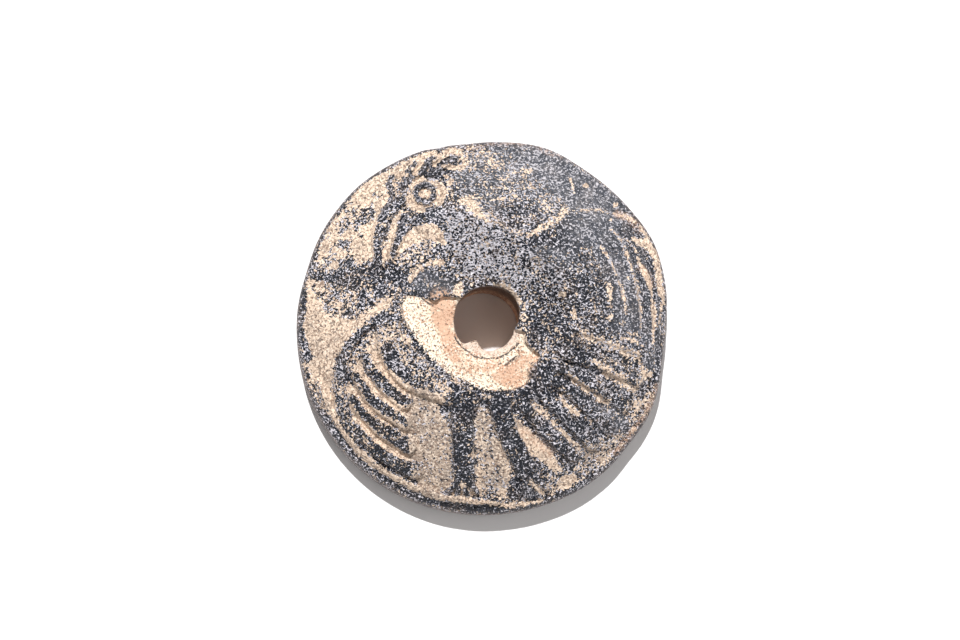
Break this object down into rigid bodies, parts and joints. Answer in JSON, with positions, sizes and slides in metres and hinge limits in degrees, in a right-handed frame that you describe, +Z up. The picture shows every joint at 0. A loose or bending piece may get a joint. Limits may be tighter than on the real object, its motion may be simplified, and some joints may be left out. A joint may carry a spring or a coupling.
{
  "type": "clay spindle whorl",
  "caption": "Domed, moulded clay whorl with a central spindle bore, a flat underside and a bird in low relief on its dark-slipped, worn upper face.",
  "frame": {"origin": "centre of the bounding box at the flat underside, on the axis of the spindle bore", "axes": "+Z up along the spindle bore, from the flat underside to the domed face; +Y towards the edge above the bird's head; +X towards the raised wing"},
  "size_m": [0.0398, 0.0399, 0.0102],
  "materials": {
    "fired_clay": "matt dark slip, worn to pale buff clay and dusted with sediment in the recesses"
  },
  "bodies": {
    "root": {"whorl": "fired_clay"}
  },
  "joints": []
}
